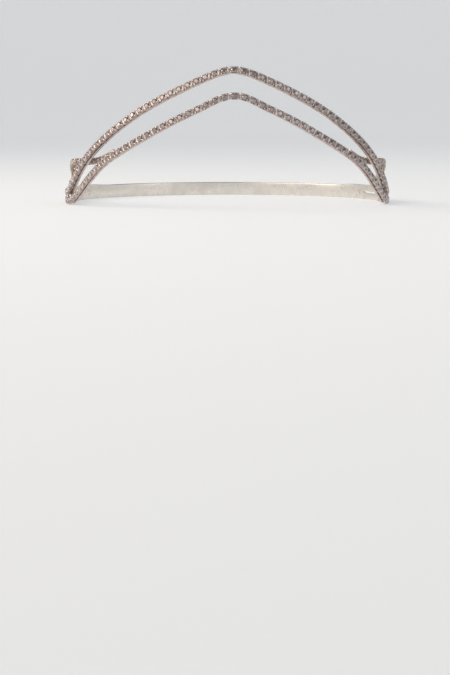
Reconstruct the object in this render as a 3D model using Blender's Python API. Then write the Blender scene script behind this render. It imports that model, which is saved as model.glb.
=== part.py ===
"""Bridal crown: strands of cup-set round stones on wire, closed by a plain band at the back.

Metres, +Z up. The wearer would look along -Y, and the crown stands on z = 0 with its
origin at the middle of its outer box. Left and right are those of the picture, so left
is -X.

Every strand follows a route round the head. A route row says where the strand's centre
line is at one turn round the crown (0 degrees at the front peak, 90 at the widest
point): how far in from the plan and how far up it lies, and how far its stones lean up
from the horizontal.
"""

import math

import bmesh
import bpy
import numpy as np

# Plan of the crown, measured on the centre line of the stone rows.
HALF_WIDTH = 0.0818
FRONT_REACH = 0.0850
BACK_REACH = 0.0800

# Heights of the strands' centre lines where they peak, above the surface it stands on,
# and how far up the front strand's rise the crossing strands leave it.
FRONT_PEAK_HEIGHT = 0.0550
UPPER_PEAK_HEIGHT = 0.0672
CROSSING_START_SHARE = 0.475

# One cup with its stone, and the wire that carries it.
STONE_PITCH = 0.00465
CUP_GAP = 0.0006
CUP_CORNER_CUT = 0.0006
CUP_RIM_WIDTH = 0.0037
CUP_SHOULDER_WIDTH = 0.0033
CUP_SHOULDER_HEIGHT = 0.0010
CUP_FOOT_WIDTH = 0.0018
CUP_DEPTH = 0.0020
STONE_WIDTH = 0.0031
STONE_RISE = 0.0006
TABLE_WIDTH = 0.0018
WIRE_WIDTH = 0.0024
UPPER_WIRE_WIDTH = 0.0030
WIRE_THICKNESS = 0.0012
END_PLATE_THICKNESS = 0.0008

# The plain band that closes the crown behind the stones.
BAND_THICKNESS = 0.0015
BAND_REAR_HEIGHT = 0.0070
SLOT_HEIGHT = 0.0009
EYELET_DIAMETER = 0.0018

# Angles round the crown, in degrees from the front peak.
STRAND_END_TURN = 96.0
SLOT_START_TURN = 98.5
SLOT_END_TURN = 112.0
EYELET_TURN = 115.5
TAPER_START_TURN = 119.0
TAPER_END_TURN = 130.0

CLEARANCE = 0.0003
EYELET_SIDES = 16
BAND_SEGMENTS = 56
SLOT_SEGMENTS = 7

# Sizes that follow from the ones above.
EVEN_CUT_SHARE = (1 - math.tan(math.pi / 8)) / 2
STRAND_DEPTH = WIRE_THICKNESS + CUP_DEPTH + STONE_RISE
LOWER_ROW_HEIGHT = CUP_RIM_WIDTH / 2
ROW_SPACING = CUP_RIM_WIDTH + CLEARANCE
UPPER_ROW_HEIGHT = LOWER_ROW_HEIGHT + ROW_SPACING
CROSSING_ROW_HEIGHT = UPPER_ROW_HEIGHT + ROW_SPACING
BAND_FRONT_HEIGHT = UPPER_ROW_HEIGHT + CUP_RIM_WIDTH / 2
FRONT_RISE = FRONT_PEAK_HEIGHT - LOWER_ROW_HEIGHT
CROSSING_START_HEIGHT = LOWER_ROW_HEIGHT + CROSSING_START_SHARE * FRONT_RISE

# Routes, as columns: turn in degrees, inset from the plan in strand depths, up as a share
# of the way from the strand's resting row to its peak, lean of the stones in degrees.
FRONT_ROUTE = [
    (0, 0, 1.000, 10),
    (4, 0, 0.979, 10),
    (10, 0, 0.902, 10),
    (20, 0, 0.779, 10),
    (30, 0, 0.645, 10),
    (40, 0, 0.515, 9),
    (50, 0, 0.383, 8),
    (58, 0, 0.248, 6),
    (66, 0, 0.110, 3),
    (73, 0, 0.025, 1),
    (77.5, 0, 0.000, 0),
    (STRAND_END_TURN, 0, 0.000, 0),
]
UPPER_ROUTE = [
    (0, 1.70, 1.000, 18),
    (5, 1.70, 0.980, 18),
    (12, 1.66, 0.921, 18),
    (20, 1.59, 0.845, 18),
    (28, 1.52, 0.764, 17),
    (36, 1.37, 0.675, 16),
    (44, 1.09, 0.571, 14),
    (52, 0.77, 0.460, 12),
    (60, 0.41, 0.335, 8),
    (68, 0.21, 0.200, 4),
    (75, 0.06, 0.078, 1),
    (82, 0.00, 0.000, 0),
    (STRAND_END_TURN, 0.00, 0.000, 0),
]
CROSSING_ROUTE = [
    (47.5, 1.10, 1.00, 8),
    (54, 1.36, 0.83, 6),
    (60, 1.62, 0.75, 4),
    (66, 1.45, 0.72, 2),
    (71, 0.80, 0.71, 1),
    (76, 0.40, 0.68, 0),
    (80, 0.45, 0.56, 0),
    (84, 0.85, 0.32, 0),
    (88, 0.85, 0.08, 0),
    (91, 0.60, 0.00, 0),
    (STRAND_END_TURN, 0.33, 0.00, 0),
]
ROUTE_SAMPLES = 1200
TANGENT_STEP_TURN = 0.05


def smooth_column(turns, values, wanted):
    """Carry a smooth curve through a column without overshooting any row."""
    turns, values = np.asarray(turns, float), np.asarray(values, float)
    steps = np.diff(turns)
    rises = np.diff(values) / steps
    slopes = np.zeros(len(turns))
    before, after = rises[:-1], rises[1:]
    same_way = before * after > 0
    slopes[1:-1][same_way] = 2 * before[same_way] * after[same_way] / (before + after)[same_way]
    slopes[0], slopes[-1] = rises[0], rises[-1]
    i = np.clip(np.searchsorted(turns, wanted, side="right") - 1, 0, len(steps) - 1)
    u = (wanted - turns[i]) / steps[i]
    return (
        (2 * u**3 - 3 * u**2 + 1) * values[i]
        + (u**3 - 2 * u**2 + u) * steps[i] * slopes[i]
        + (3 * u**2 - 2 * u**3) * values[i + 1]
        + (u**3 - u**2) * steps[i] * slopes[i + 1]
    )


def plan_point(turn, inset):
    """Place a point inset square to the plan: half an ellipse in front, half one behind."""
    angle = np.radians(turn)
    reach = np.where(np.cos(angle) >= 0, FRONT_REACH, BACK_REACH)
    square_x, square_y = reach * np.sin(angle), -HALF_WIDTH * np.cos(angle)
    step_in = inset * STRAND_DEPTH / np.hypot(square_x, square_y)
    x, y = HALF_WIDTH * np.sin(angle), -reach * np.cos(angle)
    return x - step_in * square_x, y - step_in * square_y


def unit(vectors):
    return vectors / np.linalg.norm(vectors, axis=-1, keepdims=True)


def mirrored(route):
    """Continue a route that starts at the front peak over to the other side."""
    other_side = [(-turn, inset, up, lean) for turn, inset, up, lean in route[:0:-1]]
    return other_side + list(route)


def follow_route(route, row_height, peak_height, side=1):
    """Return the joints between stones: their places, directions and stone normals."""
    turns, insets, ups, leans = np.array(route, float).T
    turn = np.linspace(turns[0], turns[-1], ROUTE_SAMPLES)
    inset = smooth_column(turns, insets, turn)
    up = smooth_column(turns, ups, turn)
    lean = np.radians(smooth_column(turns, leans, turn))
    x, y = plan_point(turn, inset)
    z = row_height + up * (peak_height - row_height)
    line = np.stack([side * x, y, z], axis=1)

    direction = unit(np.gradient(line, axis=0))
    flat = unit(direction * [1, 1, 0])
    outward = np.cross(flat, [0, 0, 1]) * side
    normal = outward * np.cos(lean)[:, None] + np.array([0, 0, 1]) * np.sin(lean)[:, None]
    normal = unit(normal - direction * np.sum(normal * direction, axis=1, keepdims=True))

    run = np.concatenate([[0], np.cumsum(np.linalg.norm(np.diff(line, axis=0), axis=1))])
    count = max(2, round(run[-1] / STONE_PITCH))
    stops = np.linspace(0, run[-1], count + 1)

    def at_stops(columns):
        return np.stack([np.interp(stops, run, column) for column in columns.T], axis=1)

    return at_stops(line), unit(at_stops(direction)), unit(at_stops(normal))


def ring(bm, middle, along, across, width, length=None, cut=None):
    """Add an eight-cornered ring: even on its own, or a longer one with cut corners."""
    cut = cut or EVEN_CUT_SHARE * width
    half_length, half_width = (length or width) / 2, width / 2
    outline = [(half_length, half_width - cut), (half_length - cut, half_width)]
    outline += [(-x, y) for x, y in outline[::-1]]
    outline += [(-x, -y) for x, y in outline]
    return [bm.verts.new(middle + x * along + y * across) for x, y in outline]


def join_rings(bm, lower, upper):
    for k in range(len(lower)):
        after = (k + 1) % len(lower)
        bm.faces.new((lower[k], lower[after], upper[after], upper[k]))


def add_stone(bm, corners, middle, along, normal, rim_size):
    """Stand a cup with its cut stone on one stretch of wire.

    corners are the four corners of the wire's top face there: left and right at the
    start, then right and left at the end. rim_size is the rim's width, and on a long cup
    its length and corner cut too.
    """
    across = np.cross(normal, along)
    rim_middle = middle + CUP_DEPTH * normal
    foot = ring(bm, middle, along, across, CUP_FOOT_WIDTH)
    shoulder = ring(bm, middle + CUP_SHOULDER_HEIGHT * normal, along, across, CUP_SHOULDER_WIDTH)
    rim = ring(bm, rim_middle, along, across, *rim_size)
    girdle = ring(bm, rim_middle, along, across, STONE_WIDTH)
    table = ring(bm, rim_middle + STONE_RISE * normal, along, across, TABLE_WIDTH)
    join_rings(bm, foot, shoulder)
    join_rings(bm, shoulder, rim)
    join_rings(bm, rim, girdle)
    join_rings(bm, girdle, table)
    bm.faces.new(table)

    start_left, start_right, end_right, end_left = corners
    bm.faces.new((end_right, end_left, foot[0], foot[7]))
    bm.faces.new((end_left, start_left, foot[2], foot[1]))
    bm.faces.new((start_left, start_right, foot[4], foot[3]))
    bm.faces.new((start_right, end_right, foot[6], foot[5]))
    bm.faces.new((end_left, foot[1], foot[0]))
    bm.faces.new((start_left, foot[3], foot[2]))
    bm.faces.new((start_right, foot[5], foot[4]))
    bm.faces.new((end_right, foot[7], foot[6]))


def add_end_plate(bm, wire_ring, base, direction, normal):
    """Close a strand with a square upright plate as wide and tall as its cups."""
    across = np.cross(normal, direction)
    height = WIRE_THICKNESS + CUP_DEPTH
    near, far = [], []
    for side, rise in ((1, 0), (-1, 0), (-1, height), (1, height)):
        corner = base + side * CUP_RIM_WIDTH / 2 * across + rise * normal
        near.append(bm.verts.new(corner))
        far.append(bm.verts.new(corner - END_PLATE_THICKNESS * direction))
    wire_left, wire_right, wire_top_right, wire_top_left = wire_ring
    left, right, top_right, top_left = near
    bm.faces.new((left, wire_left, wire_top_left, wire_top_right, wire_right, right, top_right, top_left))
    bm.faces.new((left, wire_left, wire_right, right, far[1], far[0]))
    for k in (1, 2, 3):
        after = (k + 1) % 4
        bm.faces.new((near[k], near[after], far[after], far[k]))
    bm.faces.new(far)


def make_strand(name, material, wire_width, rim_size, path, end_plate=False):
    """Build a wire with a stone in its cup at the middle of every stretch."""
    places, directions, normals = path
    bm = bmesh.new()
    bases = places - STRAND_DEPTH / 2 * normals
    rings = []
    for base, direction, normal in zip(bases, directions, normals):
        across = np.cross(normal, direction) * wire_width / 2
        top = base + WIRE_THICKNESS * normal
        rings.append([bm.verts.new(p) for p in (base + across, base - across, top - across, top + across)])

    for i in range(len(rings) - 1):
        first, second = rings[i], rings[i + 1]
        for a, b in ((0, 1), (1, 2), (3, 0)):
            bm.faces.new((first[a], first[b], second[b], second[a]))
        normal = unit(normals[i] + normals[i + 1])
        along = unit(bases[i + 1] - bases[i])
        normal = unit(normal - along * np.dot(normal, along))
        corners = (first[3], first[2], second[2], second[3])
        middle = np.mean([np.array(corner.co) for corner in corners], axis=0)
        add_stone(bm, corners, middle, along, normal, rim_size)

    if end_plate:
        add_end_plate(bm, rings[0], bases[0], directions[0], normals[0])
    else:
        bm.faces.new(rings[0])
    bm.faces.new(rings[-1])
    return finish_object(bm, name, material)


def band_frame(turn):
    """Return the band's inner line and its outward direction at one turn."""
    x, y = plan_point(turn, 0)
    ahead_x, ahead_y = plan_point(turn + TANGENT_STEP_TURN, 0)
    direction = unit(np.array([ahead_x - x, ahead_y - y, 0.0]))
    outward = np.cross(direction, [0, 0, 1])
    return np.array([x, y, 0.0]) - STRAND_DEPTH / 2 * outward, outward


def band_height(turn):
    """Full height beside the stones, easing down to the rear height."""
    from_front = min(turn, 360 - turn)
    share = np.clip((from_front - TAPER_START_TURN) / (TAPER_END_TURN - TAPER_START_TURN), 0, 1)
    ease = share * share * (3 - 2 * share)
    return BAND_FRONT_HEIGHT + ease * (BAND_REAR_HEIGHT - BAND_FRONT_HEIGHT)


def sweep_upright(bm, turns, inset, thickness, bottoms, tops):
    """Carry an upright rectangle round the crown and close its two ends."""
    rings = []
    for turn, bottom, top in zip(turns, bottoms, tops):
        inner, outward = band_frame(turn)
        inner = inner - inset * outward
        outer = inner + (thickness + 2 * inset) * outward
        corners = [inner + [0, 0, bottom], outer + [0, 0, bottom], outer + [0, 0, top], inner + [0, 0, top]]
        rings.append([bm.verts.new(corner) for corner in corners])
    for first, second in zip(rings, rings[1:]):
        join_rings(bm, first, second)
    bm.faces.new(rings[0])
    bm.faces.new(rings[-1])


def make_cutter(name, bm):
    cutter = finish_object(bm, name, None)
    cutter.hide_render = True
    cutter.display_type = "WIRE"
    return cutter


def make_slot_cutter(name, start, end):
    """Make the long slot that parts the band into two rows beside the stones."""
    bm = bmesh.new()
    turns = np.linspace(start, end, SLOT_SEGMENTS + 1)
    middle = BAND_FRONT_HEIGHT / 2
    bottoms = np.full(len(turns), middle - SLOT_HEIGHT / 2)
    sweep_upright(bm, turns, BAND_THICKNESS, BAND_THICKNESS, bottoms, bottoms + SLOT_HEIGHT)
    return make_cutter(name, bm)


def make_eyelet_cutter(name, turn):
    """Make the round hole past the slot's end, bored straight out through the band."""
    inner, outward = band_frame(turn)
    direction = np.cross([0, 0, 1], outward)
    middle = inner + [0, 0, BAND_FRONT_HEIGHT / 2]
    bm = bmesh.new()
    ends = []
    for reach in (-BAND_THICKNESS, 2 * BAND_THICKNESS):
        corners = []
        for k in range(EYELET_SIDES):
            angle = k * 2 * math.pi / EYELET_SIDES
            spoke = math.cos(angle) * direction + math.sin(angle) * np.array([0, 0, 1])
            corners.append(bm.verts.new(middle + reach * outward + EYELET_DIAMETER / 2 * spoke))
        ends.append(corners)
    join_rings(bm, ends[0], ends[1])
    bm.faces.new(ends[0])
    bm.faces.new(ends[1])
    return make_cutter(name, bm)


def make_back_band(name, material):
    """Build the plain band from one side's stones round the back to the other's."""
    gap_turn = math.degrees(CLEARANCE / HALF_WIDTH)
    start = STRAND_END_TURN + gap_turn
    turns = np.linspace(start, 360 - start, BAND_SEGMENTS + 1)
    bm = bmesh.new()
    tops = np.array([band_height(turn) for turn in turns])
    sweep_upright(bm, turns, 0.0, BAND_THICKNESS, np.zeros(len(turns)), tops)
    band = finish_object(bm, name, material)

    for label, mirror in (("right", lambda turn: turn), ("left", lambda turn: 360 - turn)):
        cutters = (
            make_slot_cutter("slot_cutter_" + label, mirror(SLOT_START_TURN), mirror(SLOT_END_TURN)),
            make_eyelet_cutter("eyelet_cutter_" + label, mirror(EYELET_TURN)),
        )
        for cutter in cutters:
            cut = band.modifiers.new(cutter.name, "BOOLEAN")
            cut.operation = "DIFFERENCE"
            cut.object = cutter
    return band


def finish_object(bm, name, material):
    """Turn every face outward and put the mesh into the scene."""
    bmesh.ops.recalc_face_normals(bm, faces=bm.faces[:])
    mesh = bpy.data.meshes.new(name)
    bm.to_mesh(mesh)
    bm.free()
    if material:
        mesh.materials.append(material)
    thing = bpy.data.objects.new(name, mesh)
    bpy.context.scene.collection.objects.link(thing)
    return thing


def make_material(name, color, metallic, roughness):
    material = bpy.data.materials.new(name)
    material.use_nodes = True
    shader = material.node_tree.nodes["Principled BSDF"]
    shader.inputs["Base Color"].default_value = (*color, 1.0)
    shader.inputs["Metallic"].default_value = metallic
    shader.inputs["Roughness"].default_value = roughness
    return material


def stand_on_origin(pieces, helpers):
    """Move everything so that the outer box stands on the origin, middle over it."""
    corners = np.array([vertex.co for piece in pieces for vertex in piece.data.vertices])
    low, high = corners.min(axis=0), corners.max(axis=0)
    shift = np.array([(low[0] + high[0]) / 2, (low[1] + high[1]) / 2, low[2]])
    for thing in pieces + helpers:
        for vertex in thing.data.vertices:
            vertex.co = np.array(vertex.co) - shift


def main():
    for thing in list(bpy.data.objects):
        bpy.data.objects.remove(thing, do_unlink=True)

    front_finish = make_material("front_stones_and_silver", (0.77, 0.73, 0.72), 0.9, 0.22)
    upper_finish = make_material("upper_stones_and_silver", (0.75, 0.71, 0.69), 0.9, 0.22)
    crossing_finish = make_material("crossing_stones_and_silver", (0.79, 0.73, 0.68), 0.9, 0.24)
    band_finish = make_material("plain_silver", (0.83, 0.80, 0.74), 1.0, 0.28)

    long_rim = (CUP_RIM_WIDTH, STONE_PITCH - CUP_GAP, CUP_CORNER_CUT)
    short_rim = (CUP_RIM_WIDTH,)
    front = follow_route(mirrored(FRONT_ROUTE), LOWER_ROW_HEIGHT, FRONT_PEAK_HEIGHT)
    upper = follow_route(mirrored(UPPER_ROUTE), UPPER_ROW_HEIGHT, UPPER_PEAK_HEIGHT)
    pieces = [
        make_strand("front_strand", front_finish, WIRE_WIDTH, long_rim, front),
        make_strand("upper_strand", upper_finish, UPPER_WIRE_WIDTH, long_rim, upper),
    ]
    for label, side in (("left", -1), ("right", 1)):
        crossing = follow_route(CROSSING_ROUTE, CROSSING_ROW_HEIGHT, CROSSING_START_HEIGHT, side)
        name = "crossing_strand_" + label
        pieces.append(make_strand(name, crossing_finish, WIRE_WIDTH, short_rim, crossing, end_plate=True))
    pieces.append(make_back_band("back_band", band_finish))
    helpers = [thing for thing in bpy.data.objects if thing not in pieces]
    stand_on_origin(pieces, helpers)


main()
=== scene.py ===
# Bridal crown: the dressed model of a circlet of stone-set strands.
# Metres, +Z up. The front peak points to -Y, and the crown stands on z = 0.
# The wires, cups and stones follow the same routes as the solids they stand for.

import bmesh
import bpy
import numpy as np
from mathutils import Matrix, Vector


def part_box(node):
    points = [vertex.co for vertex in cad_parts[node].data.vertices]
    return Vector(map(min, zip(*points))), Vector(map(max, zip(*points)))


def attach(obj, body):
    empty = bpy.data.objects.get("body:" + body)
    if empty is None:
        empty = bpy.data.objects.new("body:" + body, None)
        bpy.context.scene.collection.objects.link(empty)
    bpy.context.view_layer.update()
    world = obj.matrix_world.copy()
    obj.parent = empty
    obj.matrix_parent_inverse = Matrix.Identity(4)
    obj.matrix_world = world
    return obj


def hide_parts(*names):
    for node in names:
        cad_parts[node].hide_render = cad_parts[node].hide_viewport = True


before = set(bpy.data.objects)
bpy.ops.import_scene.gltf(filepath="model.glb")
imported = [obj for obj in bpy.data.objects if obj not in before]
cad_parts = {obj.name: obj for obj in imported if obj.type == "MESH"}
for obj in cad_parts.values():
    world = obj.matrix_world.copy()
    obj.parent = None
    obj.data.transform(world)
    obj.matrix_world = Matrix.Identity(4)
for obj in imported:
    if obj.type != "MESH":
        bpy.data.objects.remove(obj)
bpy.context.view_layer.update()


# The crown's plan and the strands' routes

crown = {
    "halfWidth": 0.0818,
    "frontReach": 0.0850,
    "backReach": 0.0800,
    "frontPeak": 0.0550,
    "upperPeak": 0.0672,
    "crossingStartShare": 0.475,
    "stonePitch": 0.00465,
    "clearance": 0.0003,
    "strandEndTurn": 96.0,
    "routeSamples": 2400,
}
wire = {
    # full width, and width between two cups
    "widths": {
        "front": (0.0025, 0.0024),
        "upper": (0.0030, 0.0029),
        "crossing_left": (0.0024, 0.0020),
        "crossing_right": (0.0024, 0.0020),
    },
    "thickness": 0.0012,
    "corner": 0.00036,
    "cornerSteps": 3,
    "ringsPerStone": 6,
    "endOverlap": 0.0006,  # how far a wire runs on into the band it is soldered to
    "sharpDegrees": 50,
}
cup = {
    "rimWidth": 0.0037,
    "depth": 0.0020,
    # turns of the three points at each corner, and of its neighbours
    "cornerTurns": (32.0, 45.0, 58.0),
    # outline of the metal, as columns: half width, height over the wire, squareness of the
    # plan, and how much longer than wide it is
    "outline": [
        (0.00082, -0.00006, 2.0, 1.00),
        (0.00074, 0.00060, 2.0, 1.00),
        (0.00160, 0.00116, 7.0, 1.28),
        (0.00170, 0.00190, 12.0, 1.31),
        (0.00160, 0.00206, 9.0, 1.31),
        (0.00145, 0.00184, 2.0, 1.00),
    ],
    # one claw, as columns: distance from the cup's middle, height, width, thickness
    "claw": [
        (0.00198, 0.00104, 0.00074, 0.00022),
        (0.00216, 0.00176, 0.00080, 0.00028),
        (0.00210, 0.00220, 0.00076, 0.00032),
        (0.00178, 0.00241, 0.00062, 0.00026),
        (0.00138, 0.00238, 0.00034, 0.00016),
    ],
    "clawTurns": (38.0, 142.0, 218.0, 322.0),
    # six points round a claw's section: shares of its half width and of its thickness
    "clawSides": (-1.0, -1.0, -0.45, 0.45, 1.0, 1.0),
    "clawOuts": (-0.5, 0.25, 0.5, 0.5, 0.25, -0.5),
    # how dark the metal is made, as painted shade with some tarnish, at three heights over the wire,
    # and round the stone
    "shadeAndTarnishHeights": (0.0, 0.0008, 0.0014),
    "shadeAndTarnishAmounts": (0.3, 0.1, 0.0),
    "seatShadeAndTarnish": 0.35,
    "tiltDegrees": 1.0,  # how unevenly the cups sit
    # share of the outline's extra length that each strand's cups have
    "stretch": {"front": 1.0, "upper": 1.0, "crossing_left": 0.2, "crossing_right": 0.2},
    "sharpDegrees": 50,
    "clawSharpDegrees": 60,
    "seed": 11,
}
stone = {
    "rise": 0.0006,
    "girdleWidth": 0.0030,
    "girdleHeight": 0.00206,
    "girdleThickness": 0.00010,
    "tableWidth": 0.0017,
    "starShare": 0.46,  # how far out from the table a star facet reaches
    "kneeShare": 0.38,  # how far down it reaches
    "footShare": 0.3,  # the underside's width as a share of the girdle's
    "footDrop": 0.0004,
    "turnDegrees": 22,
    # painted reflection of a facet by kind, as a tone: table, star, kite, half, girdle, underside
    "darkestTone": (0.30, 0.15, 0.05, 0.0, 0.05, 0.0),
    "lightestTone": (0.75, 1.0, 0.80, 0.70, 0.30, 0.1),
    "toneBias": 1.5,  # over 1, dark facets outnumber light ones
    "toneOfStone": (0.75, 1.15),
    # painted light: the crossing strands' stones are made lighter than the long strands' stones
    "paintedLightOfStrand": {"front": 1.0, "upper": 1.0, "crossing_left": 1.4, "crossing_right": 1.4},
    "seed": 5,
}

strandDepth = wire["thickness"] + cup["depth"] + stone["rise"]
lowerRow = cup["rimWidth"] / 2
rowSpacing = cup["rimWidth"] + crown["clearance"]
upperRow = lowerRow + rowSpacing
crossingRow = upperRow + rowSpacing
crossingStart = lowerRow + crown["crossingStartShare"] * (crown["frontPeak"] - lowerRow)

# columns: turn in degrees, inset in strand depths, up as a share of the peak, lean in degrees
frontRoute = [
    (0, 0, 1.000, 10),
    (4, 0, 0.979, 10),
    (10, 0, 0.902, 10),
    (20, 0, 0.779, 10),
    (30, 0, 0.645, 10),
    (40, 0, 0.515, 9),
    (50, 0, 0.383, 8),
    (58, 0, 0.248, 6),
    (66, 0, 0.110, 3),
    (73, 0, 0.025, 1),
    (77.5, 0, 0.000, 0),
    (crown["strandEndTurn"], 0, 0.000, 0),
]
upperRoute = [
    (0, 1.70, 1.000, 18),
    (5, 1.70, 0.980, 18),
    (12, 1.66, 0.921, 18),
    (20, 1.59, 0.845, 18),
    (28, 1.52, 0.764, 17),
    (36, 1.37, 0.675, 16),
    (44, 1.09, 0.571, 14),
    (52, 0.77, 0.460, 12),
    (60, 0.41, 0.335, 8),
    (68, 0.21, 0.200, 4),
    (75, 0.06, 0.078, 1),
    (82, 0.00, 0.000, 0),
    (crown["strandEndTurn"], 0.00, 0.000, 0),
]
crossingRoute = [
    (47.5, 1.10, 1.00, 8),
    (54, 1.36, 0.83, 6),
    (60, 1.62, 0.75, 4),
    (66, 1.45, 0.72, 2),
    (71, 0.80, 0.71, 1),
    (76, 0.40, 0.68, 0),
    (80, 0.45, 0.56, 0),
    (84, 0.85, 0.32, 0),
    (88, 0.85, 0.08, 0),
    (91, 0.60, 0.00, 0),
    (crown["strandEndTurn"], 0.33, 0.00, 0),
]


def smoothColumn(turns, values, wanted):
    # cubic through every row, flat where the rows turn back, so it never overshoots
    steps = np.diff(turns)
    rises = np.diff(values) / steps
    slopes = np.zeros(len(turns))
    before, after = rises[:-1], rises[1:]
    sameWay = before * after > 0
    slopes[1:-1][sameWay] = 2 * before[sameWay] * after[sameWay] / (before + after)[sameWay]
    slopes[0], slopes[-1] = rises[0], rises[-1]
    i = np.clip(np.searchsorted(turns, wanted, side="right") - 1, 0, len(steps) - 1)
    u = (wanted - turns[i]) / steps[i]
    return (
        (2 * u**3 - 3 * u**2 + 1) * values[i]
        + (u**3 - 2 * u**2 + u) * steps[i] * slopes[i]
        + (3 * u**2 - 2 * u**3) * values[i + 1]
        + (u**3 - u**2) * steps[i] * slopes[i + 1]
    )


def unit(vectors):
    # each vector over its own length
    return vectors / np.linalg.norm(vectors, axis=-1, keepdims=True)


def planPoint(turn, inset):
    # two half ellipses, one ahead and one behind; inset steps in square to them
    angle = np.radians(turn)
    reach = np.where(np.cos(angle) >= 0, crown["frontReach"], crown["backReach"])
    squareX, squareY = reach * np.sin(angle), -crown["halfWidth"] * np.cos(angle)
    stepIn = inset * strandDepth / np.hypot(squareX, squareY)
    x, y = crown["halfWidth"] * np.sin(angle), -reach * np.cos(angle)
    return x - stepIn * squareX, y - stepIn * squareY


def mirrored(route):
    # the same rows backwards at minus their turns, then the rows themselves
    return [(-turn, inset, up, lean) for turn, inset, up, lean in route[:0:-1]] + list(route)


def followRoute(route, rowHeight, peakHeight, side=1):
    # the strand's centre line, its direction and its stones' normal at many places
    turns, insets, ups, leans = np.array(route, float).T
    turn = np.linspace(turns[0], turns[-1], crown["routeSamples"])
    x, y = planPoint(turn, smoothColumn(turns, insets, turn))
    z = rowHeight + smoothColumn(turns, ups, turn) * (peakHeight - rowHeight)
    line = np.stack([side * x, y + depthShift, z], axis=1)
    lean = np.radians(smoothColumn(turns, leans, turn))[:, None]
    direction = unit(np.gradient(line, axis=0))
    outward = np.cross(unit(direction * [1, 1, 0]), [0, 0, 1]) * side
    normal = outward * np.cos(lean) + np.array([0, 0, 1]) * np.sin(lean)
    normal = unit(normal - direction * np.sum(normal * direction, axis=1, keepdims=True))
    steps = np.linalg.norm(np.diff(line, axis=0), axis=1)
    run = np.concatenate([[0], np.cumsum(steps)])
    return {"line": line, "direction": direction, "normal": normal, "run": run}


def readPath(path, wanted):
    # base of the wire, direction and normal at the wanted distances along a strand
    def column(name):
        return np.stack([np.interp(wanted, path["run"], c) for c in path[name].T], axis=1)

    direction, normal = unit(column("direction")), unit(column("normal"))
    return column("line") - strandDepth / 2 * normal, direction, normal


def stoneSeats(path):
    # where each cup stands: the middle of its stretch of wire, with its three axes
    count = max(2, round(path["run"][-1] / crown["stonePitch"]))
    base, _, normal = readPath(path, np.linspace(0, path["run"][-1], count + 1))
    along = unit(np.diff(base, axis=0))
    up = unit(normal[:-1] + normal[1:])
    up = unit(up - along * np.sum(up * along, axis=1, keepdims=True))
    middle = (base[:-1] + base[1:]) / 2 + wire["thickness"] * (normal[:-1] + normal[1:]) / 2
    return {"middle": middle, "along": along, "across": np.cross(up, along), "up": up}


bandThickness = 0.0015
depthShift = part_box("back_band")[1].y - (crown["backReach"] - strandDepth / 2 + bandThickness)
paths = {
    "front": followRoute(mirrored(frontRoute), lowerRow, crown["frontPeak"]),
    "upper": followRoute(mirrored(upperRoute), upperRow, crown["upperPeak"]),
    "crossing_left": followRoute(crossingRoute, crossingRow, crossingStart, -1),
    "crossing_right": followRoute(crossingRoute, crossingRow, crossingStart, 1),
}
nodeOf = {
    "front": "front_strand",
    "upper": "upper_strand",
    "crossing_left": "crossing_strand_left",
    "crossing_right": "crossing_strand_right",
}


# Mesh helpers

def makePiece(name, vertices, faces, sharpDegrees=None):
    # smooth where two faces meet at less than sharpDegrees, or flat everywhere without it
    mesh = bpy.data.meshes.new(name)
    mesh.from_pydata(np.asarray(vertices, float).reshape(-1, 3).tolist(), [], faces)
    mesh.update()
    if sharpDegrees:
        mesh.shade_smooth()
        mesh.set_sharp_from_angle(angle=np.radians(sharpDegrees))
    thing = bpy.data.objects.new(name, mesh)
    bpy.context.scene.collection.objects.link(thing)
    return thing


def tubeFaces(rings, columns):
    # quads between neighbouring rings, and one face over each end
    r, c = np.meshgrid(np.arange(rings - 1), np.arange(columns), indexing="ij")
    after = (c + 1) % columns
    corners = (r * columns + c, r * columns + after, (r + 1) * columns + after, (r + 1) * columns + c)
    sides = np.stack(corners, -1).reshape(-1, 4).tolist()
    last = (rings - 1) * columns
    return sides + [list(range(columns))[::-1], list(range(last, last + columns))]


def repeatFaces(faces, stride, count):
    # the faces of one shape for count copies, whose points follow each other by stride
    return [[v + k * stride for v in face] for k in range(count) for face in faces]


def placeShape(shape, seats, turnDegrees=0.0, tiltDegrees=0.0, seed=0):
    # shape holds along, across and up for each point; every seat gets one copy, turned by
    # up to turnDegrees and tilted by about tiltDegrees, never past mostTilt times that
    draw = np.random.default_rng(seed)
    count = len(seats["middle"])
    mostTilt = 1.5
    tilt = np.radians(draw.normal(0, 1, (count, 2)).clip(-mostTilt, mostTilt) * tiltDegrees)
    turn = np.radians(turnDegrees * draw.uniform(-1, 1, count))
    up = unit(seats["up"] + tilt[:, :1] * seats["along"] + tilt[:, 1:] * seats["across"])
    along = seats["along"] * np.cos(turn)[:, None] + seats["across"] * np.sin(turn)[:, None]
    along = unit(along - up * np.sum(along * up, axis=1, keepdims=True))
    axes = np.stack([along, np.cross(up, along), up], axis=1)
    return seats["middle"][:, None] + np.einsum("kc,ncd->nkd", shape, axes)


def nameValues(thing, name, domain, values):
    layer = thing.data.attributes.new(name, "FLOAT", domain)
    layer.data.foreach_set("value", np.asarray(values, np.float32))


def dress(thing, material, node=None):
    # material, body, and the solid that the piece stands for
    thing.data.materials.clear()
    thing.data.materials.append(material)
    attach(thing, "root")
    if node:
        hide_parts(node)


def roundedBar(width, thickness, corner, steps):
    # half widths and heights of a bar's section whose four corners are quarter rounds
    points = []
    for side, height, start in ((1, 0, -90), (1, 1, 0), (-1, 1, 90), (-1, 0, 180)):
        angle = np.radians(start + np.linspace(0, 90, steps))
        x = side * (width / 2 - corner) + corner * np.cos(angle)
        y = corner + height * (thickness - 2 * corner) + corner * np.sin(angle)
        points.append(np.stack([x, y], 1))
    return np.concatenate(points)


# Finishes

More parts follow.
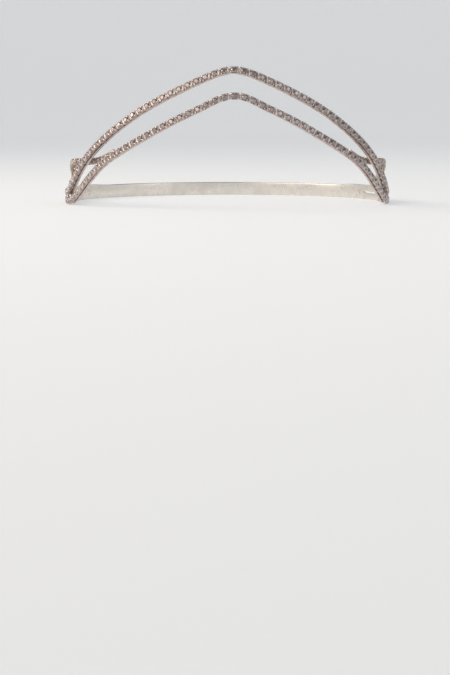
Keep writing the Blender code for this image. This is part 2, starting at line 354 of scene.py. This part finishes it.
# how finely the tarnish is mottled and the metal scratched, and how deep the scratches are
fineGrain = {"mottleScale": 420.0, "scratchScale": 1500.0, "scratchDepth": 0.05}
strandSilver = {
    "tint": (0.70, 0.60, 0.56, 1.0),
    "tarnishAndShade": (0.36, 0.29, 0.265, 1.0),
    "roughness": 0.22,
    **fineGrain,
}
cupSilver = {
    "tint": (0.60, 0.515, 0.475, 1.0),
    "tarnishAndShade": (0.20, 0.155, 0.14, 1.0),
    "roughness": 0.28,
    **fineGrain,
}
# a warmer copy of the strand silver for the crossing strands: painted warm light
warmLitSilver = {
    "tint": (0.68, 0.57, 0.48, 1.0),
    "tarnishAndShade": (0.26, 0.20, 0.16, 1.0),
    "roughness": 0.26,
    **fineGrain,
}
plainSilver = {
    "tint": (0.80, 0.76, 0.70, 1.0),
    "tarnishAndShade": (0.62, 0.56, 0.49, 1.0),
    "roughness": 0.26,
    "mottleScale": 160.0,
    "scratchScale": 900.0,
    "scratchDepth": 0.05,
}
# a lighter copy of the silver for the end plates: a painted highlight
paintedHighlightSilver = {
    "tint": (0.82, 0.75, 0.70, 1.0),
    "tarnishAndShade": (0.60, 0.53, 0.47, 1.0),
    "roughness": 0.36,
    **fineGrain,
}
plating = {
    "mottleDetail": 4.0,
    "mottleRange": (0.42, 0.72),  # noise below the first is clean, above the second spotted
    "mottleTarnish": 0.5,
    "tarnishRoughness": 0.28,
    "scratchDetail": 2.0,
    "scratchStretch": (0.12, 0.12, 1.0),
    "scratchDistance": 0.0001,
}
# base colours of the stones' painted facet reflections, from dark to light
crystal = {
    "dark": (0.23, 0.195, 0.19, 1.0),
    "middle": (0.34, 0.295, 0.29, 1.0),
    "light": (0.56, 0.50, 0.49, 1.0),
    "metallic": 0.8,
    "dullest": 0.26,
    "brightest": 0.14,
    "coat": 0.5,
    "coatRoughness": 0.10,
}


def addNode(nodes, kind, **settings):
    node = nodes.new(kind)
    for name, value in settings.items():
        setattr(node, name, value)
    return node


def makePlatingGroup():
    # tint that goes to the tarnish colour where it is mottled, and low in a cup as painted shade with
    # some tarnish, with hairline scratches
    group = bpy.data.node_groups.new("Plating", "ShaderNodeTree")
    colourSocket, floatSocket = "NodeSocketColor", "NodeSocketFloat"
    for name, kind in (
        ("Tint", colourSocket),
        ("Tarnish And Shade", colourSocket),
        ("Painted Shade And Tarnish", floatSocket),
        ("Roughness", floatSocket),
        ("Mottle Scale", floatSocket),
        ("Scratch Scale", floatSocket),
    ):
        group.interface.new_socket(name=name, in_out="INPUT", socket_type=kind)
    for name, kind in (("Color", colourSocket), ("Roughness", floatSocket), ("Height", floatSocket)):
        group.interface.new_socket(name=name, in_out="OUTPUT", socket_type=kind)
    nodes, links = group.nodes, group.links
    given = nodes.new("NodeGroupInput")
    result = nodes.new("NodeGroupOutput")
    place = nodes.new("ShaderNodeTexCoord")

    mottle = nodes.new("ShaderNodeTexNoise")
    mottle.inputs["Detail"].default_value = plating["mottleDetail"]
    links.new(place.outputs["Object"], mottle.inputs["Vector"])
    links.new(given.outputs["Mottle Scale"], mottle.inputs["Scale"])
    spots = nodes.new("ShaderNodeMapRange")
    cleanest, spotted = plating["mottleRange"]
    spots.inputs["From Min"].default_value = cleanest
    spots.inputs["From Max"].default_value = spotted
    spots.inputs["To Max"].default_value = plating["mottleTarnish"]
    links.new(mottle.outputs["Fac"], spots.inputs["Value"])
    total = addNode(nodes, "ShaderNodeMath", operation="ADD", use_clamp=True)
    links.new(spots.outputs["Result"], total.inputs[0])
    links.new(given.outputs["Painted Shade And Tarnish"], total.inputs[1])
    colour = addNode(nodes, "ShaderNodeMix", data_type="RGBA")
    links.new(total.outputs[0], colour.inputs["Factor"])
    links.new(given.outputs["Tint"], colour.inputs["A"])
    links.new(given.outputs["Tarnish And Shade"], colour.inputs["B"])
    links.new(colour.outputs["Result"], result.inputs["Color"])

    rougher = addNode(nodes, "ShaderNodeMath", operation="MULTIPLY_ADD")
    rougher.inputs[1].default_value = plating["tarnishRoughness"]
    links.new(total.outputs[0], rougher.inputs[0])
    links.new(given.outputs["Roughness"], rougher.inputs[2])
    links.new(rougher.outputs[0], result.inputs["Roughness"])

    scratch = nodes.new("ShaderNodeTexNoise")
    scratch.inputs["Detail"].default_value = plating["scratchDetail"]
    stretch = nodes.new("ShaderNodeMapping")
    stretch.inputs["Scale"].default_value = plating["scratchStretch"]
    links.new(place.outputs["Object"], stretch.inputs["Vector"])
    links.new(stretch.outputs["Vector"], scratch.inputs["Vector"])
    links.new(given.outputs["Scratch Scale"], scratch.inputs["Scale"])
    links.new(scratch.outputs["Fac"], result.inputs["Height"])
    return group


platingGroup = makePlatingGroup()


def makeMetal(name, finish, shadeAndTarnishName=None):
    # the plating group with one finish's values, with painted shade and tarnish where the named
    # attribute says
    material = bpy.data.materials.new(name)
    material.use_nodes = True
    nodes, links = material.node_tree.nodes, material.node_tree.links
    shader = nodes["Principled BSDF"]
    shader.inputs["Metallic"].default_value = 1.0
    plated = addNode(nodes, "ShaderNodeGroup", node_tree=platingGroup)
    plated.inputs["Tint"].default_value = finish["tint"]
    plated.inputs["Tarnish And Shade"].default_value = finish["tarnishAndShade"]
    plated.inputs["Roughness"].default_value = finish["roughness"]
    plated.inputs["Mottle Scale"].default_value = finish["mottleScale"]
    plated.inputs["Scratch Scale"].default_value = finish["scratchScale"]
    if shadeAndTarnishName:
        painted_shade_and_tarnish = addNode(nodes, "ShaderNodeAttribute", attribute_name=shadeAndTarnishName)
        links.new(painted_shade_and_tarnish.outputs["Fac"], plated.inputs["Painted Shade And Tarnish"])
    links.new(plated.outputs["Color"], shader.inputs["Base Color"])
    links.new(plated.outputs["Roughness"], shader.inputs["Roughness"])
    bump = nodes.new("ShaderNodeBump")
    bump.inputs["Strength"].default_value = finish["scratchDepth"]
    bump.inputs["Distance"].default_value = plating["scratchDistance"]
    links.new(plated.outputs["Height"], bump.inputs["Height"])
    links.new(bump.outputs["Normal"], shader.inputs["Normal"])
    return material


def makeCrystal(name):
    # foil-backed glass: each facet's base colour is a painted reflection, its own share of the light,
    # under real coat and metal reflections
    material = bpy.data.materials.new(name)
    material.use_nodes = True
    nodes, links = material.node_tree.nodes, material.node_tree.links
    shader = nodes["Principled BSDF"]
    shader.inputs["Metallic"].default_value = crystal["metallic"]
    shader.inputs["Coat Weight"].default_value = crystal["coat"]
    shader.inputs["Coat Roughness"].default_value = crystal["coatRoughness"]
    facet = addNode(nodes, "ShaderNodeAttribute", attribute_name="facet_painted_reflection")
    tones = nodes.new("ShaderNodeValToRGB")
    tones.color_ramp.elements[0].color = crystal["dark"]
    tones.color_ramp.elements[1].color = crystal["light"]
    tones.color_ramp.elements.new(0.5).color = crystal["middle"]
    links.new(facet.outputs["Fac"], tones.inputs["Fac"])
    links.new(tones.outputs["Color"], shader.inputs["Base Color"])
    dull = nodes.new("ShaderNodeMapRange")
    dull.inputs["To Min"].default_value = crystal["dullest"]
    dull.inputs["To Max"].default_value = crystal["brightest"]
    links.new(facet.outputs["Fac"], dull.inputs["Value"])
    links.new(dull.outputs["Result"], shader.inputs["Roughness"])
    return material


strandMetal = makeMetal("strand_silver", strandSilver)
cupMetal = makeMetal("cup_silver", cupSilver, "painted_shade_and_tarnish")
warmLitMetal = makeMetal("warm_lit_strand_silver", warmLitSilver)
warmLitCupMetal = makeMetal("warm_lit_cup_silver", warmLitSilver, "painted_shade_and_tarnish")
bandMetal = makeMetal("plain_band_silver", plainSilver)
plateHighlightMetal = makeMetal("end_plate_highlight_silver", paintedHighlightSilver)
stoneGlass = makeCrystal("foil_backed_crystal")
# the crossing strands take the warm copies of the silver, as painted warm light
metalsOf = {
    "front": (strandMetal, cupMetal),
    "upper": (strandMetal, cupMetal),
    "crossing_left": (warmLitMetal, warmLitCupMetal),
    "crossing_right": (warmLitMetal, warmLitCupMetal),
}
print("finishes made")


# Wires: a flat bar with rounded edges that narrows between the cups

def makeWire(label, path, count, bothEnds):
    # the bar's section at each place along the path, its width changing from cup to cup
    rings = count * wire["ringsPerStone"] + 1
    place = np.linspace(0, count, rings)
    base, direction, normal = readPath(path, place / count * path["run"][-1])
    if bothEnds:
        base[0] -= wire["endOverlap"] * direction[0]
    base[-1] += wire["endOverlap"] * direction[-1]
    across = np.cross(normal, direction)
    full, narrow = wire["widths"][label]
    profile = roundedBar(full, wire["thickness"], wire["corner"], wire["cornerSteps"])
    # full width under each cup, the narrow width halfway between two
    neck = (0.5 + 0.5 * np.cos(2 * np.pi * place)) ** 2
    widths = 1 - neck * (1 - narrow / full)
    points = (
        base[:, None]
        + widths[:, None, None] * profile[:, :1] * across[:, None]
        + profile[:, 1:] * normal[:, None]
    )
    thing = makePiece(label + "_wire", points, tubeFaces(rings, len(profile)), wire["sharpDegrees"])
    dress(thing, metalsOf[label][0], nodeOf[label])


# Cups: a flared cup, round at its foot and squarish at its rim, with four claws

def cupShape(stretch):
    # a ring for each outline row: a superellipse of the row's squareness, |x|^n + |y|^n = width^n,
    # drawn out along the strand by stretch times the row's extra length
    angle = np.radians(np.add.outer([0, 90, 180, 270], cup["cornerTurns"]).ravel())
    width, height, square, longer = np.array(cup["outline"]).T[:, :, None]
    reach = width / (np.abs(np.cos(angle)) ** square + np.abs(np.sin(angle)) ** square) ** (1 / square)
    longer = 1 + stretch * (longer - 1)
    points = np.stack([longer * reach * np.cos(angle), reach * np.sin(angle), height + 0 * reach], -1)
    # painted shade with some tarnish: dark near the foot, clean at the lip, a little duller where the
    # stone sits
    painted_shade_and_tarnish = np.interp(height[:, 0], cup["shadeAndTarnishHeights"], cup["shadeAndTarnishAmounts"])
    painted_shade_and_tarnish[-1] = cup["seatShadeAndTarnish"]
    return points.reshape(-1, 3), tubeFaces(*reach.shape), np.repeat(painted_shade_and_tarnish, len(angle))


def clawShape():
    # four tapered tongues that rise at the cup's corners and fold in over the stone
    distance, height, width, thickness = np.array(cup["claw"]).T[:, :, None]
    slope = unit(np.gradient(np.concatenate([distance, height], 1), axis=0))
    sides, outs = np.array(cup["clawSides"]), np.array(cup["clawOuts"])
    distances = distance + outs * thickness * slope[:, 1:]
    heights = height - outs * thickness * slope[:, :1]
    offsets = sides * width / 2
    points = []
    for corner in np.radians(cup["clawTurns"]):
        x = distances * np.cos(corner) - offsets * np.sin(corner)
        y = distances * np.sin(corner) + offsets * np.cos(corner)
        points.append(np.stack([x, y, heights], -1).reshape(-1, 3))
    return np.concatenate(points), repeatFaces(tubeFaces(*distances.shape), distances.size, 4)


def makeCups(label, seats):
    # one cup on every seat
    points, faces, painted_shade_and_tarnish = cupShape(cup["stretch"][label])
    count = len(seats["middle"])
    placed = placeShape(points, seats, tiltDegrees=cup["tiltDegrees"], seed=cup["seed"])
    everyFace = repeatFaces(faces, len(points), count)
    thing = makePiece(label + "_cups", placed, everyFace, cup["sharpDegrees"])
    nameValues(thing, "painted_shade_and_tarnish", "POINT", np.tile(painted_shade_and_tarnish, count))
    dress(thing, metalsOf[label][1], nodeOf[label])


def makeClaws(label, seats):
    # four claws on every seat, tilted as their cup is
    points, faces = clawShape()
    count = len(seats["middle"])
    placed = placeShape(points, seats, tiltDegrees=cup["tiltDegrees"], seed=cup["seed"])
    everyFace = repeatFaces(faces, len(points), count)
    thing = makePiece(label + "_claws", placed, everyFace, cup["clawSharpDegrees"])
    dress(thing, metalsOf[label][0], nodeOf[label])


# Stones: a round brilliant, with a table, eight stars, eight kites and sixteen halves

def stoneShape():
    # circles of points at the table, the stars' tips, both edges of the girdle and the foot
    girdle, table = stone["girdleWidth"] / 2, stone["tableWidth"] / 2
    top = cup["depth"] + stone["rise"]
    high = stone["girdleHeight"]
    low = high - stone["girdleThickness"]
    starReach = table + stone["starShare"] * (girdle - table)
    knee = top - stone["kneeShare"] * (top - high)

    def circle(radius, height, count, start=0.0):
        angle = start + 2 * np.pi * np.arange(count) / count
        return np.stack([radius * np.cos(angle), radius * np.sin(angle), np.full(count, height)], 1)

    points = np.concatenate(
        [
            circle(table, top, 8),
            circle(starReach, knee, 8, np.pi / 8),
            circle(girdle, high, 16),
            circle(girdle, low, 16),
            circle(stone["footShare"] * girdle, low - stone["footDrop"], 8),
        ]
    )
    star, upper, lower, under = 8, 16, 32, 48
    faces, kinds = [list(range(8))], [0]
    for k in range(8):
        n = (k + 1) % 8
        half = upper + 2 * k + 1
        faces += [
            [k, star + k, n],
            [n, star + k, upper + 2 * n, star + n],
            [star + k, upper + 2 * k, half],
            [star + k, half, upper + 2 * n],
            [lower + 2 * k, under + k, under + n, lower + 2 * n, lower + 2 * k + 1],
        ]
        kinds += [1, 2, 3, 3, 5]
    for k in range(16):
        n = (k + 1) % 16
        faces.append([upper + k, lower + k, lower + n, upper + n])
        kinds.append(4)
    faces.append(list(range(under + 7, under - 1, -1)))
    kinds.append(5)
    return points, faces, np.array(kinds)


def makeStones(label, seats, seed):
    # one stone in every cup, tilted as its cup is, with a painted reflection of its own for each facet
    points, faces, kinds = stoneShape()
    count = len(seats["middle"])
    placed = placeShape(points, seats, stone["turnDegrees"], cup["tiltDegrees"], cup["seed"])
    thing = makePiece(label + "_stones", placed, repeatFaces(faces, len(points), count))
    # a facet's painted reflection lies between its kind's two tones, times its stone's, times its
    # strand's painted light
    draw = np.random.default_rng(seed)
    darkest = np.array(stone["darkestTone"])[kinds]
    lightest = np.array(stone["lightestTone"])[kinds]
    share = draw.uniform(0, 1, (count, len(kinds))) ** stone["toneBias"]
    ofStone = draw.uniform(*stone["toneOfStone"], (count, 1))
    tones = (darkest + share * (lightest - darkest)) * ofStone * stone["paintedLightOfStrand"][label]
    nameValues(thing, "facet_painted_reflection", "FACE", tones.clip(0, 1).ravel())
    dress(thing, stoneGlass, nodeOf[label])


seatsOf = {label: stoneSeats(path) for label, path in paths.items()}
for order, (label, seats) in enumerate(seatsOf.items()):
    makeWire(label, paths[label], len(seats["middle"]), bothEnds=label in ("front", "upper"))
    makeCups(label, seats)
    makeClaws(label, seats)
    makeStones(label, seats, stone["seed"] + order)
    print(label, "strand made,", len(seats["middle"]), "stones")


# End plates: a square upright plate with rounded edges, where a crossing strand starts

endPlate = {
    "thickness": 0.0008,
    "corner": 0.00054,
    "round": 0.00018,  # of the edges of its two faces
    "steps": 4,
    "sharpDegrees": 50,
}


def makeEndPlate(label, path):
    # the plate's outline, carried along the strand in rings that draw in at both faces
    base, direction, normal = (column[0] for column in readPath(path, np.zeros(1)))
    across = np.cross(normal, direction)
    outline = roundedBar(cup["rimWidth"], strandDepth, endPlate["corner"], endPlate["steps"])
    middle = np.array([0, strandDepth / 2])
    angle = np.linspace(0, np.pi / 2, endPlate["steps"])
    inset = endPlate["round"] * (1 - np.sin(angle))
    back = endPlate["round"] * (1 - np.cos(angle))
    insets = np.concatenate([inset, inset[::-1]])
    places = np.concatenate([back, endPlate["thickness"] - back[::-1]])
    rings = []
    for drawnIn, place in zip(insets, places):
        section = middle + (outline - middle) * (1 - drawnIn / middle[1])
        rings.append(base - place * direction + section[:, :1] * across + section[:, 1:] * normal)
    faces = tubeFaces(len(rings), len(outline))
    thing = makePiece(label + "_end_plate", rings[::-1], faces, endPlate["sharpDegrees"])
    # the end plate's lighter silver is a painted highlight
    dress(thing, plateHighlightMetal, nodeOf[label])


for label in ("crossing_left", "crossing_right"):
    makeEndPlate(label, paths[label])
print("end plates made")


# Back band: a rounded flat bar with a long slot and an eyelet at each side

band = {
    "frontHeight": upperRow + cup["rimWidth"] / 2,
    "rearHeight": 0.0070,
    "taperTurns": (119.0, 130.0),
    "corner": 0.00045,
    "cornerSteps": 5,
    "segments": 120,
    "slotHeight": 0.0009,
    "slotTurns": (98.5, 112.0),
    "slotRings": 18,
    "eyeletWidth": 0.0018,
    "eyeletTurn": 115.5,
    "eyeletSides": 24,
    "slotEndShare": 0.1,  # the slot's height at its very ends, as a share of its full height
    "cutEase": 0.0002,  # how far the cuts' edges are rounded off
    "cutSteps": 4,
    "lookAhead": 0.05,  # turn in degrees over which the line's direction is taken
    "sharpDegrees": 35,
}


def bandLine(turn):
    # the band's inner line and its outward direction, from the plan a hair further on
    here = np.stack(planPoint(turn, 0), -1)
    ahead = np.stack(planPoint(turn + band["lookAhead"], 0), -1)
    direction = unit(ahead - here)
    outward = np.stack([direction[..., 1], -direction[..., 0]], -1)
    inner = here - strandDepth / 2 * outward + [0, depthShift]
    level = np.zeros(inner.shape[:-1] + (1,))
    return np.concatenate([inner, level], -1), np.concatenate([outward, level], -1)


def makeBandBody():
    # a rounded bar's section at every turn, its height eased from beside the stones to the rear
    start = crown["strandEndTurn"] + np.degrees(crown["clearance"] / crown["halfWidth"])
    turns = np.linspace(start, 360 - start, band["segments"] + 1)
    low, high = band["taperTurns"]
    share = ((np.minimum(turns, 360 - turns) - low) / (high - low)).clip(0, 1)
    eased = share**2 * (3 - 2 * share)
    height = band["frontHeight"] + eased * (band["rearHeight"] - band["frontHeight"])
    rings = []
    for (inner, outward), tall in zip(zip(*bandLine(turns)), height):
        section = roundedBar(tall, bandThickness, band["corner"], band["cornerSteps"])
        up = (section[:, :1] + tall / 2) * [0, 0, 1]
        rings.append(inner + section[:, 1:] * outward + up)
    return makePiece("plain_back_band", rings, tubeFaces(len(rings), 4 * band["cornerSteps"]))


def cutDepths():
    # distances out from the inner face, and how much wider a cut is there
    ease, reach = band["cutEase"], 2 * band["cutEase"]
    angle = np.linspace(0, np.pi / 2, band["cutSteps"])
    quarter = ease * (1 - np.sin(angle))
    depth = ease * (1 - np.cos(angle))
    depths = np.concatenate([[-reach], depth, bandThickness - depth[::-1], [bandThickness + reach]])
    return depths, np.concatenate([[ease], quarter, quarter[::-1], [ease]])


def slotCutter(name, turns):
    # two rounded ends: the half height follows a circle over the last half height of length
    depths, wider = cutDepths()
    share = 0.5 - 0.5 * np.cos(np.linspace(0, np.pi, band["slotRings"]))
    inner, outward = bandLine(turns[0] + share * (turns[1] - turns[0]))
    run = np.concatenate([[0], np.cumsum(np.linalg.norm(np.diff(inner, axis=0), axis=1))])
    half = band["slotHeight"] / 2
    toEnd = np.minimum(run, run[-1] - run)
    least = band["slotEndShare"] * half
    halves = np.sqrt(np.maximum(half**2 - np.maximum(half - toEnd, 0) ** 2, least**2))
    rings = []
    for place, out, tall in zip(inner, outward, halves):
        edge = (tall + wider)[:, None] * [0, 0, 1] + band["frontHeight"] / 2 * np.array([0, 0, 1])
        upper = place + depths[:, None] * out + edge
        lower = upper * [1, 1, 0] + (band["frontHeight"] - upper[:, 2:]) * [0, 0, 1]
        rings.append(np.concatenate([upper, lower[::-1]]))
    return makePiece(name, rings, tubeFaces(len(rings), 2 * len(depths)))


def eyeletCutter(name, turn):
    # circles at each depth, wider at the two faces
    depths, wider = cutDepths()
    inner, outward = bandLine(np.array(turn))
    direction = np.cross([0, 0, 1], outward)
    angle = 2 * np.pi * np.arange(band["eyeletSides"]) / band["eyeletSides"]
    spokes = np.cos(angle)[:, None] * direction + np.sin(angle)[:, None] * [0, 0, 1]
    middle = inner + [0, 0, band["frontHeight"] / 2]
    radius = band["eyeletWidth"] / 2 + wider
    points = middle + depths[:, None, None] * outward + radius[:, None, None] * spokes
    return makePiece(name, points, tubeFaces(len(depths), len(angle)))


def recalculate(thing):
    # turn the faces of a closed mesh outward
    shell = bmesh.new()
    shell.from_mesh(thing.data)
    bmesh.ops.recalc_face_normals(shell, faces=shell.faces[:])
    shell.to_mesh(thing.data)
    shell.free()


def cutAway(thing, cutters):
    # take each cutter out of the thing, then throw the cutter away
    for cutter in cutters:
        recalculate(cutter)
        cut = thing.modifiers.new(cutter.name, "BOOLEAN")
        cut.operation = "DIFFERENCE"
        cut.object = cutter
    evaluated = thing.evaluated_get(bpy.context.evaluated_depsgraph_get())
    finished = bpy.data.meshes.new_from_object(evaluated)
    thing.modifiers.clear()
    thing.data = finished
    for cutter in cutters:
        bpy.data.objects.remove(cutter, do_unlink=True)


bandBody = makeBandBody()
recalculate(bandBody)
farSlot = [360 - turn for turn in band["slotTurns"]]
cutAway(
    bandBody,
    [
        slotCutter("slot_right", band["slotTurns"]),
        slotCutter("slot_left", farSlot),
        eyeletCutter("eyelet_right", band["eyeletTurn"]),
        eyeletCutter("eyelet_left", 360 - band["eyeletTurn"]),
    ],
)
bandBody.data.shade_smooth()
bandBody.data.set_sharp_from_angle(angle=np.radians(band["sharpDegrees"]))
dress(bandBody, bandMetal, "back_band")
print("back band made")


# Solder: small drawn-out drops where rows of cups touch and where wires meet the band

solder = {
    "reach": 0.0010,  # the widest gap between two rims that a drop bridges
    "halfLength": 0.00062,
    "halfWidth": 0.00050,
    "around": 10,
    "rows": 7,
    "poleCut": 0.12,  # how near a pole the last ring lies, in radians
    "rimShare": 0.8,  # height of the drops in the cups, as a share of their depth
    "tiltDegrees": 6,
    "sharpDegrees": 60,
    "seed": 3,
    "collar": (0.0011, 0.00135, 0.00070),  # half length, half width and half depth at the band
}


def dropShape(halfLength, halfWidth, halfDepth):
    # an ellipsoid of rings from one pole to the other, cut just short of each
    polar = np.linspace(solder["poleCut"], np.pi - solder["poleCut"], solder["rows"])
    angle = 2 * np.pi * np.arange(solder["around"]) / solder["around"]
    x = halfLength * np.cos(polar)[::-1, None] + 0 * angle
    y = halfWidth * np.sin(polar)[:, None] * np.cos(angle)
    z = halfDepth * np.sin(polar)[:, None] * np.sin(angle)
    return np.stack([x, y, z], -1).reshape(-1, 3), tubeFaces(solder["rows"], solder["around"])


def touchSeats(first, second):
    # halfway between each cup and the nearest cup of the other row, where rims nearly meet
    rim = solder["rimShare"] * cup["depth"]
    a, b = (seats["middle"] + rim * seats["up"] for seats in (seatsOf[first], seatsOf[second]))
    gaps = np.linalg.norm(a[:, None] - b[None], axis=2)
    nearest = gaps.argmin(axis=1)
    near = gaps.min(axis=1) < cup["rimWidth"] + solder["reach"]
    middle = ((a + b[nearest]) / 2)[near]
    toOther = unit(b[nearest] - a)[near]
    up = unit(np.cross(toOther, seatsOf[first]["along"][near]))
    return {"middle": middle, "along": toOther, "across": np.cross(up, toOther), "up": up}


def bandSeats():
    # the four places where a wire of the two long strands runs into the band
    parts = []
    for label in ("front", "upper"):
        path = paths[label]
        base, direction, normal = readPath(path, path["run"][[0, -1]])
        middle = base + wire["thickness"] / 2 * normal
        middle[0] -= crown["clearance"] * direction[0]
        middle[1] += crown["clearance"] * direction[1]
        parts.append((middle, direction, np.cross(normal, direction), normal))
    names = ("middle", "along", "across", "up")
    return {name: np.concatenate(columns) for name, columns in zip(names, zip(*parts))}


def makeDrops(name, seats, shape):
    # one drop on every seat
    points, faces = shape
    placed = placeShape(points, seats, tiltDegrees=solder["tiltDegrees"], seed=solder["seed"])
    count = len(seats["middle"])
    thing = makePiece(name, placed, repeatFaces(faces, len(points), count), solder["sharpDegrees"])
    dress(thing, strandMetal)
    print(name, count)


for first, second in (
    ("upper", "front"),
    ("crossing_left", "upper"),
    ("crossing_right", "upper"),
    ("crossing_left", "front"),
    ("crossing_right", "front"),
):
    joints = touchSeats(first, second)
    if len(joints["middle"]):
        drop = dropShape(solder["halfLength"], solder["halfWidth"], solder["halfWidth"])
        makeDrops(first + "_to_" + second + "_solder", joints, drop)
makeDrops("band_solder", bandSeats(), dropShape(*solder["collar"]))


# Floor, light and camera

studio = {
    "paperTint": (0.64, 0.65, 0.66, 1.0),
    "paperGlow": 0.58,  # light that comes through the paper
    "paperRoughness": 0.9,
    "floorRings": (0.002, 0.6),  # radii of the flat floor's inner rings
    "floorRadius": 1.9,
    "curveRadius": 0.8,
    "curveSteps": 16,
    "wallTop": 1.5,
    "around": 96,
    "sharpDegrees": 60,
    "worldLight": 0.20,
    "worldTint": (0.96, 0.97, 1.0, 1.0),
    # softboxes, as columns: place, target, width and height, spread in degrees, watts, tint
    "softboxes": {
        "key_light": ((-0.80, -0.70, 0.75), (0, 0, 0.03), (0.9, 0.9), 180, 5.0, (1.0, 0.88, 0.74)),
        "side_light": ((-1.25, 0.05, 0.70), (0, 0, 0.03), (0.8, 0.8), 70, 1.5, (1.0, 0.88, 0.75)),
        "fill_light": ((0.85, -0.55, 0.5), (0, 0, 0.03), (0.7, 0.7), 180, 1.1, (0.92, 0.95, 1.0)),
        "top_light": ((0.0, 0.3, 1.1), (0, 0, 0), (1.0, 1.0), 180, 1.6, (1.0, 0.98, 0.96)),
    },
}


def makePaperBowl():
    # a round floor that curves up into a wall on every side: straight, quarter round, straight
    angle = np.linspace(0, np.pi / 2, studio["curveSteps"])
    radius = studio["floorRadius"] + studio["curveRadius"] * np.sin(angle)
    height = studio["curveRadius"] * (1 - np.cos(angle))
    radius = np.concatenate([studio["floorRings"], radius, radius[-1:]])[::-1]
    height = np.concatenate([[0.0, 0.0], height, [studio["wallTop"]]])[::-1]
    turn = 2 * np.pi * np.arange(studio["around"]) / studio["around"]
    spokes = np.stack([np.cos(turn), np.sin(turn), 0 * turn], 1)
    rings = radius[:, None, None] * spokes + height[:, None, None] * np.array([0, 0, 1])
    # open at the wall's top, closed in the floor's middle
    faces = tubeFaces(len(radius), studio["around"])
    bowl = makePiece("studio_paper", rings, faces[:-2] + faces[-1:], studio["sharpDegrees"])
    material = bpy.data.materials.new("pale_paper")
    material.use_nodes = True
    shader = material.node_tree.nodes["Principled BSDF"]
    shader.inputs["Base Color"].default_value = studio["paperTint"]
    shader.inputs["Roughness"].default_value = studio["paperRoughness"]
    shader.inputs["Emission Color"].default_value = studio["paperTint"]
    shader.inputs["Emission Strength"].default_value = studio["paperGlow"]
    bowl.data.materials.append(material)


def aim(place, target):
    # the turn that points a lamp or camera from its place to the target
    return (Vector(target) - Vector(place)).to_track_quat("-Z", "Y").to_euler()


def makeSoftbox(name, place, target, size, spread, watts, tint):
    light = bpy.data.lights.new(name, "AREA")
    light.shape = "RECTANGLE"
    light.size, light.size_y = size
    light.spread = np.radians(spread)
    light.energy = watts
    light.color = tint
    lamp = bpy.data.objects.new(name, light)
    bpy.context.scene.collection.objects.link(lamp)
    lamp.location = place
    lamp.rotation_euler = aim(place, target)
    lamp.visible_camera = False


makePaperBowl()
for name, softbox in studio["softboxes"].items():
    makeSoftbox(name, *softbox)
world = bpy.data.worlds.new("studio_air")
world.use_nodes = True
world.node_tree.nodes["Background"].inputs["Color"].default_value = studio["worldTint"]
world.node_tree.nodes["Background"].inputs["Strength"].default_value = studio["worldLight"]
bpy.context.scene.world = world
bpy.context.scene.view_settings.view_transform = "Standard"

view = {
    "place": (-0.0428, -1.0449, 0.0575),
    "target": (-0.0011, 0.00385, -0.0706),
    "lens": 107.9,
    "sensorHeight": 36.0,
    "nearest": 0.01,
}
cameraData = bpy.data.cameras.new("photo_view")
cameraData.sensor_fit = "VERTICAL"
cameraData.sensor_height = view["sensorHeight"]
cameraData.lens = view["lens"]
cameraData.clip_start = view["nearest"]
camera = bpy.data.objects.new("photo_view", cameraData)
bpy.context.scene.collection.objects.link(camera)
camera.location = view["place"]
camera.rotation_euler = aim(view["place"], view["target"])
bpy.context.scene.camera = camera
print("studio and camera set")

bpy.context.view_layer.update()
